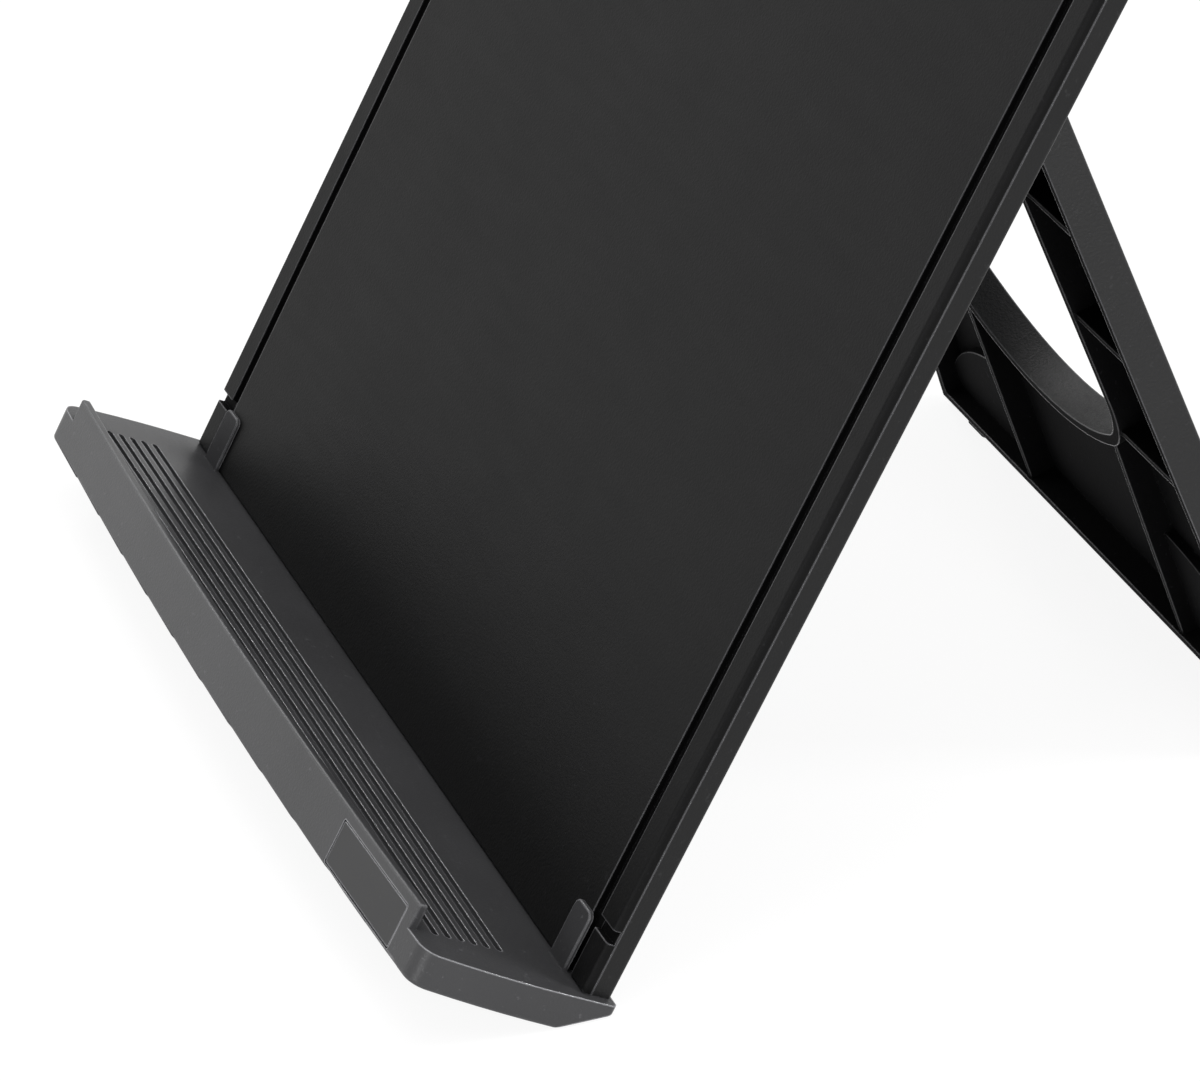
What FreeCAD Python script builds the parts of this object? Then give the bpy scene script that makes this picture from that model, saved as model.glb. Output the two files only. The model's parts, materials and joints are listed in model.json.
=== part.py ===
import FreeCAD, Part
import math
import os

import Sketcher

# Copy holder with a line guide.
#
# A thin two-shell board leans back on an easel leg that is hinged to its rear.  The board
# stands on a ledge tray whose heel is cut to lie flat on the desk.  A sprung clip at the top
# holds the sheets, and a clear line guide slides up and down on the two rims of the board.
#
# Three frames are used, all in millimetres and degrees:
#   desk frame   X to the right, Y backwards, Z up, Z = 0 on the desk
#   board frame  x to the right, y through the board to its rear, z up along the board,
#                origin on the board's face, in the middle, level with the tray floor
#   leg frame    x to the right, y to the leg's rear skin, z up along the leg,
#                origin on the hinge axis

SIZES = {
    # how the board stands
    "board_tilt": 28.1,
    "leg_turn": 20.11,
    # board, a front shell and a rear shell
    "board_width": 231.0,
    "board_height": 288.0,
    "board_depth": 6.4,
    "front_skin": 2.0,
    "back_skin": 1.8,
    "shell_wall": 2.0,
    "edge_round": 0.8,
    "board_corner": 6.0,
    # track for the line guide, just inside each rim
    "rim_width": 6.1,
    "track_width": 3.0,
    "track_depth": 1.4,
    "track_backing": 1.2,
    "track_spare": 2.0,
    "gate_low": 10.9,
    "gate_width": 2.7,
    # screws that join the shells
    "boss_radius": 3.2,
    "boss_inset": 14.0,
    "boss_low": 26.0,
    "boss_drop": 30.0,
    # self-tapping screws, one size throughout
    "screw_shank": 1.1,
    "screw_length": 4.2,
    "screw_head": 2.2,
    "screw_head_height": 1.1,
    "screw_slot": 0.6,
    "fit_gap": 0.06,
    # ledge tray
    "tray_width": 235.2,
    "tray_thickness": 7.3,
    "tray_reach": 37.0,
    "tray_bow": 3.4,
    "tray_taper": 3.0,
    "tray_corner": 4.5,
    "tray_rear": 7.2,
    "tray_skin": 2.2,
    "tray_wall": 2.2,
    "tray_rib": 1.6,
    "tray_rear_corner": 1.2,
    "tray_edge": 0.8,
    "tray_bays": 6,
    "heel_start": 3.4,
    "fence_height": 5.2,
    "fence_length": 212.8,
    "fence_thickness": 2.0,
    "fence_edge": 0.5,
    "groove_count": 6,
    "groove_first": 14.0,
    "groove_pitch": 2.8,
    "groove_width": 1.3,
    "groove_depth": 0.8,
    "groove_length": 212.4,
    # tongues that stand up from the tray on the board's face
    "tongue_outer": 107.9,
    "tongue_width": 7.0,
    "tongue_height": 12.4,
    "tongue_thickness": 0.9,
    "tongue_corner": 1.6,
    "tongue_edge": 0.3,
    # blank name plate
    "badge_centre": 87.6,
    "badge_length": 31.0,
    "badge_height": 9.0,
    "badge_thickness": 0.8,
    "badge_drop": 1.8,
    "badge_sink": 0.15,
    "badge_gap": 0.25,
    # screws from the heel up into the board
    "tray_screw_spread": 84.0,
    "tray_screw_rear": 4.0,
    "tray_screw_seat": 0.8,
    "tray_screw_length": 9.0,
    "tray_block_width": 12.0,
    "tray_block_height": 12.0,
    # rubber strips under the heel
    "grip_centre": 78.0,
    "grip_length": 52.0,
    "grip_width": 6.4,
    "grip_thickness": 1.6,
    "grip_proud": 0.4,
    # hinge between board and leg
    "hinge_height": 198.0,
    "hinge_standoff": 4.6,
    "hinge_radius": 4.0,
    "rod_radius": 1.5,
    "lug_inner": 24.0,
    "lug_width": 5.0,
    "knuckle_width": 8.6,
    "washer_thickness": 0.4,
    "washer_radius": 3.4,
    "cap_radius": 3.0,
    "cap_thickness": 1.4,
    # easel leg, a ribbed shell that is open towards the board
    "leg_depth": 8.0,
    "leg_foot_width": 162.4,
    "leg_top_width": 98.0,
    "leg_shoulder": 6.0,
    "leg_skin": 1.8,
    "leg_wall": 2.0,
    "leg_corner": 3.0,
    "leg_edge": 0.8,
    "window_low": 46.0,
    "window_crest": 19.0,
    "window_sag": 14.0,
    "window_corner": 12.0,
    "window_crown": 22.0,
    "rail_width": 26.4,
    "rib_thickness": 1.4,
    "rib_drop": 0.6,
    "rib_first": 59.3,
    "rib_pitch": 28.2,
    "post_offset": 36.0,
    "gusset_rise": 27.0,
    "gusset_end": 7.0,
    "gusset_bow": 60.0,
    # rubber feet of the leg
    "foot_centre": 66.0,
    "foot_length": 10.0,
    "foot_width": 6.0,
    "foot_setback": 0.8,
    "foot_thickness": 2.7,
    "foot_proud": 1.5,
    # line guide: a slider on each rim, a clear bar between them
    "bar_rest_gap": 5.0,
    "slider_length": 22.0,
    "slider_plate": 2.5,
    "slider_wall": 2.4,
    "slider_lap": 4.4,
    "slider_round": 1.6,
    "slide_gap": 0.3,
    "thumb_ribs": 5,
    "thumb_pitch": 2.8,
    "thumb_groove": 1.1,
    "thumb_depth": 0.5,
    "leaf_thickness": 0.3,
    "leaf_length": 16.0,
    "leaf_bow": 0.3,
    "leaf_stop": 1.2,
    "peg_width": 1.6,
    "peg_height": 2.3,
    "peg_depth": 1.0,
    "arm_height": 12.4,
    "arm_flare": 2.4,
    "arm_width": 7.0,
    "arm_length": 5.2,
    "bar_height": 20.0,
    "bar_thickness": 2.0,
    "bar_bead": 1.6,
    "bar_overlap": 0.6,
    "bar_screw_pitch": 6.4,
    # sheet clip: the plate that is screwed to the board
    "clip_width": 96.0,
    "clip_plate": 2.0,
    "clip_skirt": 16.0,
    "clip_corner": 5.0,
    "clip_screw_offset": 18.0,
    "clip_screw_drop": 6.0,
    "ear_inner": 37.0,
    "ear_width": 3.0,
    "ear_radius": 4.0,
    "ear_foot": 9.0,
    "pivot_drop": 14.0,
    "pivot_front": 9.0,
    "pin_radius": 1.5,
    "pin_head_radius": 2.6,
    "pin_head": 1.2,
    # sheet clip: the jaw and its lever, bent from one plate
    "jaw_width": 100.0,
    "jaw_thickness": 2.2,
    "jaw_drop": 23.0,
    "jaw_lip": 6.0,
    "jaw_lean": 1.1,
    "jaw_clear": 5.2,
    "knee_drop": 8.0,
    "shoulder_rise": 10.0,
    "jaw_gap": 0.3,
    "jaw_corner": 4.0,
    "lever_lean": 4.6,
    "lever_rise": 28.0,
    "lever_corner": 12.0,
    "cheek_thickness": 2.4,
    "cheek_foot": 7.5,
    "jaw_pad_thickness": 1.6,
    "jaw_pad_length": 94.0,
    # sheet clip: springs wound close on the pin
    "coil_bore": 1.8,
    "coil_wire": 0.5,
    "coil_turns": 9,
    "coil_pitch": 0.96,
    "coil_inner": 12.0,
    "coil_leg": 12.6,
    "coil_stub_turn": 19.0,
    "coil_stub": 2.4,
}

doc = FreeCAD.newDocument("copy_holder")
sheet = doc.addObject("Spreadsheet::Sheet", "dim")
for row, (alias, value) in enumerate(SIZES.items(), start=1):
    sheet.set(f"A{row}", alias)
    sheet.set(f"B{row}", str(value))
    sheet.setAlias(f"B{row}", alias)
doc.recompute()

NODES = []
TINY = 1e-9


def size(expression):
    """Value of an expression over the sheet's names, such as 'board_width / 2'."""
    return float(sheet.evalExpression(expression))


def bound(expression):
    """The same expression as seen from another object of the document."""
    words, word = [], ""
    for letter in expression + " ":
        if letter.isalnum() or letter == "_":
            word += letter
            continue
        words.append("dim." + word if word in SIZES else word)
        words.append(letter)
        word = ""
    return "".join(words).strip()


def bind(item, prop, expression):
    item.setExpression(prop, bound(expression))
    return item


# ---------------------------------------------------------------- sketched prisms

ROLES = {"XY": "XY_Plane", "XZ": "XZ_Plane", "YZ": "YZ_Plane"}


def new_sketch(body, plane, name):
    """A sketch on one of the body's own origin planes."""
    origin = next(f for f in body.Origin.OriginFeatures if f.Role == ROLES[plane])
    sketch = body.newObject("Sketcher::SketchObject", name)
    sketch.AttachmentSupport = (origin, [""])
    sketch.MapMode = "FlatFace"
    return sketch


def pin_point(sketch, geometry, end, across, up):
    """Hold one end of a line or arc at a point given by two expressions."""
    for kind, axis, expression in (("DistanceX", -2, across), ("DistanceY", -1, up)):
        distance = size(expression)
        if abs(distance) < TINY:
            sketch.addConstraint(Sketcher.Constraint("PointOnObject", geometry, end, axis))
            continue
        if distance > 0:
            ends = (-1, 1, geometry, end)
            rule = expression
        else:
            ends = (geometry, end, -1, 1)
            rule = f"-({expression})"
        index = sketch.addConstraint(Sketcher.Constraint(kind, *ends, abs(distance)))
        bind(sketch, f"Constraints[{index}]", rule)


def draw_outline(sketch, corners):
    """Draw a closed outline, anticlockwise.

    A corner is (across, up) or (across, up, radius, side).  With a radius, the edge that
    leaves the corner is an arc, whose centre is on the left (side 1) or right (side -1).
    """
    upright = FreeCAD.Vector(0, 0, 1)
    points = [FreeCAD.Vector(size(c[0]), size(c[1]), 0) for c in corners]
    starts = []
    for number, corner in enumerate(corners):
        here = points[number]
        there = points[(number + 1) % len(points)]
        if len(corner) == 2:
            geometry = sketch.addGeometry(Part.LineSegment(here, there))
            starts.append((geometry, 1, 2))
            continue
        radius, side = size(corner[2]), corner[3]
        along = there - here
        left = upright.cross(along).normalize()
        reach = math.sqrt(max(radius * radius - along.Length * along.Length / 4, 0))
        centre = (here + there) * 0.5 + left * (side * reach)
        first, last = (here, there) if side > 0 else (there, here)
        angles = [math.atan2(p.y - centre.y, p.x - centre.x) for p in (first, last)]
        circle = Part.Circle(centre, upright, radius)
        geometry = sketch.addGeometry(Part.ArcOfCircle(circle, angles[0], angles[1]))
        starts.append((geometry, 1, 2) if side > 0 else (geometry, 2, 1))
        index = sketch.addConstraint(Sketcher.Constraint("Radius", geometry, radius))
        bind(sketch, f"Constraints[{index}]", corner[2])
    for number, (geometry, start, end) in enumerate(starts):
        following = starts[(number + 1) % len(starts)]
        join = Sketcher.Constraint("Coincident", geometry, end, following[0], following[1])
        sketch.addConstraint(join)
        pin_point(sketch, geometry, start, corners[number][0], corners[number][1])


def prism(name, plane, corners, start, end, rounds=(), rims=()):
    """A body padded from one coordinate to another, with some of its edges rounded.

    rounds holds (radius, corner numbers) pairs for the edges along the prism, and rims
    holds (radius, coordinate) pairs for the edges round one of its two end faces.
    """
    body = doc.addObject("PartDesign::Body", name)
    sketch = new_sketch(body, plane, name + "_outline")
    draw_outline(sketch, corners)
    backwards = plane == "XZ"
    rise = f"-({start})" if backwards else start
    bind(sketch, "AttachmentOffset.Base.z", rise)
    pad = body.newObject("PartDesign::Pad", name + "_pad")
    pad.Profile = sketch
    pad.Reversed = backwards
    bind(pad, "Length", f"({end}) - ({start})")
    body.Tip = pad
    for number, (radius, numbers) in enumerate(rounds):
        doc.recompute()
        edges = long_edges(body.Tip.Shape, plane, [corners[k] for k in numbers])
        round_off(body, f"{name}_round{number}", edges, radius)
    for number, (radius, level) in enumerate(rims):
        doc.recompute()
        edges = face_edges(body.Tip.Shape, plane, size(level))
        round_off(body, f"{name}_rim{number}", edges, radius)
    return body


def round_off(body, name, edges, radius):
    """Fillet some edges of the body's last feature."""
    below = body.Tip
    fillet = body.newObject("PartDesign::Fillet", name)
    fillet.Base = (below, edges)
    bind(fillet, "Radius", radius)
    body.Tip = fillet


def face_edges(shape, plane, level):
    """Names of the edges that lie in one end face of a prism."""
    axis = {"XY": "Z", "XZ": "Y", "YZ": "X"}[plane]
    names = []
    for number, edge in enumerate(shape.Edges, start=1):
        box = edge.BoundBox
        ends = (getattr(box, axis + "Min"), getattr(box, axis + "Max"))
        if all(abs(end - level) < 1e-4 for end in ends):
            names.append(f"Edge{number}")
    return names


def long_edges(shape, plane, wanted):
    """Names of the edges that run along a prism at the given corners of its outline."""
    across, up = {"XY": ("x", "y"), "XZ": ("x", "z"), "YZ": ("y", "z")}[plane]
    names = []
    for number, edge in enumerate(shape.Edges, start=1):
        ends = [(getattr(v.Point, across), getattr(v.Point, up)) for v in edge.Vertexes]
        if len(ends) != 2 or math.dist(ends[0], ends[1]) > 1e-6:
            continue
        for corner in wanted:
            if math.dist(ends[0], (size(corner[0]), size(corner[1]))) < 1e-5:
                names.append(f"Edge{number}")
    return names


def rectangle(left, right, low, high):
    """Corners of an upright rectangle, anticlockwise from the lower left."""
    return [(left, low), (right, low), (right, high), (left, high)]


# ---------------------------------------------------------------- primitives and booleans

TURNS = {
    "x": FreeCAD.Rotation(FreeCAD.Vector(0, 1, 0), 90),
    "y": FreeCAD.Rotation(FreeCAD.Vector(1, 0, 0), -90),
    "z": FreeCAD.Rotation(),
}


def put(item, x, y, z):
    """Bind the place of an item, turned or not, to three expressions."""
    for letter, expression in zip("xyz", (x, y, z)):
        bind(item, f"Placement.Base.{letter}", expression)
    return item


def block(name, x0, x1, y0, y1, z0, z1):
    """A box between two corners."""
    item = doc.addObject("Part::Box", name)
    for prop, low, high in (("Length", x0, x1), ("Width", y0, y1), ("Height", z0, z1)):
        bind(item, prop, f"({high}) - ({low})")
    return put(item, x0, y0, z0)


def rod(name, axis, radius, x, y, z, length):
    """A cylinder that starts at a point and runs along x, y or z."""
    item = doc.addObject("Part::Cylinder", name)
    item.Placement = FreeCAD.Placement(FreeCAD.Vector(), TURNS[axis])
    bind(item, "Radius", radius)
    bind(item, "Height", length)
    return put(item, x, y, z)


def fuse(name, items):
    item = doc.addObject("Part::MultiFuse", name)
    item.Shapes = list(items)
    item.Refine = True
    return item


def cut(name, base, tools):
    tools = list(tools)
    item = doc.addObject("Part::Cut", name)
    item.Base = base
    item.Tool = tools[0] if len(tools) == 1 else fuse(name + "_tools", tools)
    item.Refine = True
    return item


def group(name, items):
    """Identical pieces that share one node as separate solids."""
    item = doc.addObject("Part::Compound", name)
    item.Links = list(items)
    return item


def node(item, label, place):
    """Name a finished sub-part and put it where it belongs."""
    item.Label = label
    item.Placement = place
    NODES.append(item)
    return item


BOTH = (("left", -1), ("right", 1))


def out(side, near, far):
    """A span measured outwards from the middle, as it lies on one side."""
    return (near, far) if side > 0 else (f"-({far})", f"-({near})")


def outward(side, distance):
    """A distance from the middle, as it lies on one side."""
    return distance if side > 0 else f"-({distance})"


def handed(side, corners, rounds=()):
    """An outline drawn for the right, and the corners to be rounded, as seen on one side."""
    if side > 0:
        return corners, rounds
    last = len(corners) - 1
    flipped = []
    for number in range(last, -1, -1):
        arc = corners[number - 1][2:]
        flipped.append((f"-({corners[number][0]})", corners[number][1]) + arc)
    return flipped, [(radius, [last - k for k in numbers]) for radius, numbers in rounds]


# ---------------------------------------------------------------- where the frames stand

# The heel of the tray is cut level with the desk, and its rubber strips stand proud of it.
HEEL_RISE = "tray_thickness * cos(board_tilt) - heel_start * sin(board_tilt) + grip_proud"
AXIS_DEPTH = "board_depth + hinge_standoff"
AXIS_RISE = (f"hinge_height * cos(board_tilt) - ({AXIS_DEPTH}) * sin(board_tilt)"
             f" + {HEEL_RISE}")
AXIS_BACK = f"hinge_height * sin(board_tilt) + ({AXIS_DEPTH}) * cos(board_tilt)"

# The leg is as long as it takes to put the rim edge of its foot foot_proud above the desk.
leg_fall = f"({AXIS_RISE}) - foot_proud - leg_depth / 2 * sin(leg_turn)"
sheet.set("C1", "leg_reach")
sheet.set("D1", str(size(f"({leg_fall}) / cos(leg_turn)")))
sheet.setAlias("D1", "leg_reach")
SIZES["leg_reach"] = None
doc.recompute()

# The desk frame is centred between the front of the tray and the back of the leg's foot.
FRONT = "tray_reach * cos(board_tilt) + tray_thickness * sin(board_tilt)"
BACK = (f"{AXIS_BACK} + leg_reach * sin(leg_turn) - leg_depth / 2 * cos(leg_turn)"
        " + leg_depth / cos(leg_turn)")
MIDDLE = f"(({BACK}) - ({FRONT})) / 2"

board_place = FreeCAD.Placement(
    FreeCAD.Vector(0, -size(MIDDLE), size(HEEL_RISE)),
    FreeCAD.Rotation(FreeCAD.Vector(1, 0, 0), -size("board_tilt")))
leg_place = FreeCAD.Placement(
    FreeCAD.Vector(0, size(AXIS_BACK) - size(MIDDLE), size(AXIS_RISE)),
    FreeCAD.Rotation(FreeCAD.Vector(1, 0, 0), size("leg_turn")))
axis_place = board_place.multiply(FreeCAD.Placement(
    FreeCAD.Vector(0, size(AXIS_DEPTH), size("hinge_height")), FreeCAD.Rotation()))
desk_place = FreeCAD.Placement(FreeCAD.Vector(0, -size(MIDDLE), 0), FreeCAD.Rotation())


# Up the board, the clip hangs from the top edge and the guide rests just below its jaw.
PIVOT = "(board_height - pivot_drop)"
CLIP_FOOT = f"({PIVOT} - clip_skirt)"
JAW_MOUTH = f"({PIVOT} - jaw_drop)"
GUIDE = f"({JAW_MOUTH} - bar_rest_gap - bar_height / 2)"
TRACK_TOP = f"({GUIDE} + slider_length / 2 + track_spare)"


# ---------------------------------------------------------------- screws and other small parts

def screw(name, x, y, z, shank, turn):
    """A slotted self-tapping screw; its head rests at the point and the shank runs on."""
    parts = [
        rod(name + "_shank", "z", "screw_shank", "0", "0", "0", shank),
        rod(name + "_head", "z", "screw_head", "0", "0", "-screw_head_height",
            "screw_head_height"),
    ]
    slot = block(name + "_slot", "-screw_head", "screw_head", "-screw_slot / 2",
                 "screw_slot / 2", "-screw_head_height", "-screw_head_height / 2")
    item = cut(name, fuse(name + "_body", parts), [slot])
    item.Placement = FreeCAD.Placement(FreeCAD.Vector(), turn)
    return put(item, x, y, z)


FORWARD = FreeCAD.Rotation(FreeCAD.Vector(1, 0, 0), 90)
BACKWARD = FreeCAD.Rotation(FreeCAD.Vector(1, 0, 0), -90)
UPWARD = FreeCAD.Rotation()


# ---------------------------------------------------------------- board, front shell

HALF = "board_width / 2"
RIM = f"{HALF} - rim_width"
TRACK = f"{HALF} - rim_width - track_width"
GATE_TOP = "gate_low + gate_width"
BOSS_HIGH = "(board_height - boss_drop)"
BOSSES = [(f"{HALF} - boss_inset", z)
          for z in ("boss_low", f"(boss_low + {BOSS_HIGH}) / 2", BOSS_HIGH)]
INNER_BACK = "board_depth - back_skin"


def front_shell():
    """The flat face, with a track inside each rim and bosses behind for the screws."""
    face = prism("front_face", "XZ", rectangle(f"-({HALF})", HALF, "0", "board_height"),
                 "0", "front_skin", [("board_corner", [2, 3])], [("edge_round", "0")])
    solids, tools = [face], []
    for word, side in BOTH:
        x0, x1 = out(side, f"{TRACK} - track_backing", f"{RIM} + track_backing")
        solids.append(block(f"track_back_{word}", x0, x1, "front_skin / 2",
                            "track_depth + track_backing", "shell_wall + fit_gap",
                            f"{TRACK_TOP} + track_backing"))
        x0, x1 = out(side, TRACK, RIM)
        tools.append(block(f"track_{word}", x0, x1, "-1", "track_depth", "0", TRACK_TOP))
        x0, x1 = out(side, RIM, f"{HALF} + 1")
        tools.append(block(f"gate_{word}", x0, x1, "-1", "front_skin - edge_round / 2",
                           "gate_low", GATE_TOP))
        for number, (x, z) in enumerate(BOSSES):
            x0 = outward(side, x)
            solids.append(rod(f"boss_{word}{number}", "y", "boss_radius", x0, "front_skin / 2",
                              z, f"{INNER_BACK} - front_skin / 2"))
            tools.append(rod(f"pilot_{word}{number}", "y", "screw_shank + fit_gap", x0,
                             "board_depth - screw_head_height - screw_length - fit_gap", z,
                             "screw_length"))
        x0 = outward(side, "clip_screw_offset")
        z = "board_height - clip_screw_drop"
        solids.append(rod(f"clip_boss_{word}", "y", "boss_radius", x0, "front_skin / 2", z,
                          f"{INNER_BACK} - front_skin / 2"))
        tools.append(rod(f"clip_pilot_{word}", "y", "screw_shank + fit_gap", x0, "-1", z,
                         "screw_length + 1"))
    item = cut("front_shell_solid", fuse("front_shell_body", solids), tools)
    return node(item, "front_shell", board_place)


# ---------------------------------------------------------------- board, rear shell

LUG_NEAR = "lug_inner"
KNUCKLE_NEAR = "lug_inner + lug_width + washer_thickness"
KNUCKLE_FAR = f"{KNUCKLE_NEAR} + knuckle_width"
LUG_FAR = f"{KNUCKLE_FAR} + washer_thickness"
STACK_END = f"{LUG_FAR} + lug_width"


def lug(name, side, near):
    """One hinge lug: a barrel round the axis on a foot that spreads upwards onto the back."""
    x0, x1 = out(side, near, f"{near} + lug_width")
    foot = [
        ("board_depth - back_skin / 2", "hinge_height - hinge_radius"),
        (AXIS_DEPTH, "hinge_height - hinge_radius"),
        (AXIS_DEPTH, "hinge_height + hinge_radius"),
        ("board_depth", "hinge_height + 2 * hinge_radius"),
        ("board_depth - back_skin / 2", "hinge_height + 2 * hinge_radius"),
    ]
    barrel = rod(name + "_barrel", "x", "hinge_radius", x0, AXIS_DEPTH, "hinge_height",
                 "lug_width")
    return fuse(name, [prism(name + "_foot", "YZ", foot, x0, x1), barrel])


def rear_shell():
    """The back: a shallow tray-shaped moulding that carries the lugs of the hinge."""
    outer = prism("rear_outer", "XZ", rectangle(f"-({HALF})", HALF, "0", "board_height"),
                  "front_skin", "board_depth", [("board_corner", [2, 3])],
                  [("edge_round", "board_depth")])
    wall = f"{HALF} - shell_wall"
    hollow = prism("rear_hollow", "XZ",
                   rectangle(f"-({wall})", wall, "shell_wall", "board_height - shell_wall"),
                   "front_skin - 1", INNER_BACK,
                   [("board_corner - shell_wall", [2, 3])])
    solids, tools = [cut("rear_tray", outer, [hollow])], []
    for word, side in BOTH:
        for number, near in enumerate((LUG_NEAR, LUG_FAR)):
            solids.append(lug(f"lug_{word}{number}", side, near))
        for number, (x, z) in enumerate(BOSSES):
            x0 = outward(side, x)
            tools.append(rod(f"clear_{word}{number}", "y", "screw_shank + fit_gap", x0,
                             "front_skin", z, "board_depth"))
            tools.append(rod(f"seat_{word}{number}", "y", "screw_head + fit_gap", x0,
                             "board_depth - screw_head_height", z, "screw_head_height + 1"))
        x0, x1 = out(side, "tray_screw_spread / 2 - tray_block_width / 2",
                     "tray_screw_spread / 2 + tray_block_width / 2")
        solids.append(block(f"foot_block_{word}", x0, x1, "front_skin", "board_depth - 1",
                            "0", "tray_block_height"))
        x0 = outward(side, "tray_screw_spread / 2")
        tools.append(rod(f"foot_pilot_{word}", "z", "screw_shank + fit_gap", x0,
                         "tray_screw_rear", "-1", "tray_screw_length + 1 + fit_gap"))
    tools.append(rod("axis_bore", "x", "rod_radius + fit_gap", f"-({STACK_END}) - 1",
                     AXIS_DEPTH, "hinge_height", f"2 * ({STACK_END}) + 2"))
    item = cut("rear_shell_solid", fuse("rear_shell_body", solids), tools)
    return node(item, "rear_shell", board_place)


def shell_screws():
    screws = []
    for word, side in BOTH:
        for number, (x, z) in enumerate(BOSSES):
            x0 = outward(side, x)
            screws.append(screw(f"shell_screw_{word}{number}", x0,
                                "board_depth - screw_head_height", z, "screw_length", FORWARD))
    return node(group("shell_screw_set", screws), "shell_screws", board_place)


# ---------------------------------------------------------------- ledge tray

TRAY_HALF = "tray_width / 2"
TRAY_LOW = "-tray_thickness"
HEEL_BACK = f"{TRAY_LOW} + (tray_rear + heel_start) * tan(board_tilt)"
FRONT_HALF = "(tray_width / 2 - tray_taper)"
BOW_RADIUS = f"(({FRONT_HALF} ^ 2 + tray_bow ^ 2) / (2 * tray_bow))"
SIDE_RUN = "(tray_reach - tray_bow - heel_start)"
TAPER_RADIUS = f"(({SIDE_RUN} ^ 2 + tray_taper ^ 2) / (2 * tray_taper))"


def tray_outline(inset):
    """The tray from above: a bowed front, ends that draw in towards it, a square back."""
    half = f"{TRAY_HALF} - {inset}"
    front = f"{FRONT_HALF} - {inset}"
    corner = f"-(tray_reach - tray_bow - {inset})"
    return [
        (f"-({front})", corner, f"{BOW_RADIUS} - {inset}", 1),
        (front, corner, f"{TAPER_RADIUS} - {inset}", 1),
        (half, "-heel_start"),
        (half, f"tray_rear - {inset}"),
        (f"-({half})", f"tray_rear - {inset}"),
        (f"-({half})", "-heel_start", f"{TAPER_RADIUS} - {inset}", 1),
    ]


HEEL_MIDDLE = (f"((tray_rear - heel_start) * cos(board_tilt)"
               f" + ({TRAY_LOW} + {HEEL_BACK}) * sin(board_tilt)) / 2")


def heel_grip(name, side, grow):
    """A strip along the heel, in the desk frame; grown, it is the recess that holds it."""
    x0, x1 = out(side, f"grip_centre - grip_length / 2 - {grow}",
                 f"grip_centre + grip_length / 2 + {grow}")
    y0 = f"{HEEL_MIDDLE} - grip_width / 2 - {grow}"
    y1 = f"{HEEL_MIDDLE} + grip_width / 2 + {grow}"
    return prism(name, "XY", rectangle(x0, x1, y0, y1), "0", f"grip_thickness + {grow}",
                 [("grip_width / 4", [0, 1, 2, 3])])


def tray_hollow():
    """The space under the front of the tray, in bays between ribs."""
    space = prism("tray_space", "XY", tray_outline("tray_wall"), f"{TRAY_LOW} - 1",
                  "-tray_skin", [("tray_corner - tray_wall / 2", [0, 1])])
    reach = block("tray_space_reach", f"-({TRAY_HALF})", TRAY_HALF, "-tray_reach",
                  "-heel_start - tray_wall", f"{TRAY_LOW} - 1", "0")
    bays = doc.addObject("Part::Common", "tray_bays_space")
    bays.Base, bays.Tool = space, reach
    ribs = []
    for number in range(1, int(size("tray_bays"))):
        x = f"tray_width * ({number} / tray_bays - 1 / 2)"
        ribs.append(block(f"tray_rib_{number}", f"{x} - tray_rib / 2", f"{x} + tray_rib / 2",
                          "-tray_reach", "0", f"{TRAY_LOW} + tray_edge", "0"))
    return cut("tray_hollow", bays, ribs)


def fence():
    """The lip that keeps pens and sheets on the tray; it follows the bowed front."""
    half = "fence_length / 2"
    centre = f"({BOW_RADIUS} - tray_reach)"
    inner = f"({BOW_RADIUS} - fence_thickness)"
    front = f"{centre} - sqrt({BOW_RADIUS} ^ 2 - ({half}) ^ 2)"
    back = f"{centre} - sqrt({inner} ^ 2 - ({half}) ^ 2)"
    corners = [(f"-({half})", front, BOW_RADIUS, 1), (half, front),
               (half, back, inner, -1), (f"-({half})", back)]
    return prism("fence", "XY", corners, "-tray_skin / 2", "fence_height",
                 [("fence_edge", [0, 1, 2, 3])], [("fence_edge", "fence_height")])


def badge_frame():
    """Where the name plate sits: on the bowed front, turned to face along its normal."""
    radius, x = size(BOW_RADIUS), size("badge_centre")
    turn = math.asin(x / radius)
    y = radius - size("tray_reach") - radius * math.cos(turn)
    return FreeCAD.Placement(
        FreeCAD.Vector(x, y, -size("badge_drop")),
        FreeCAD.Rotation(FreeCAD.Vector(0, 0, 1), math.degrees(turn)))


def badge(name, front, grow):
    half, rise = f"badge_length / 2 + {grow}", f"badge_height / 2 + {grow}"
    return prism(name, "XZ", rectangle(f"-({half})", half, f"-({rise})", rise), front,
                 "badge_sink + badge_thickness", [("badge_gap * 2", [0, 1, 2, 3])])


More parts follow.
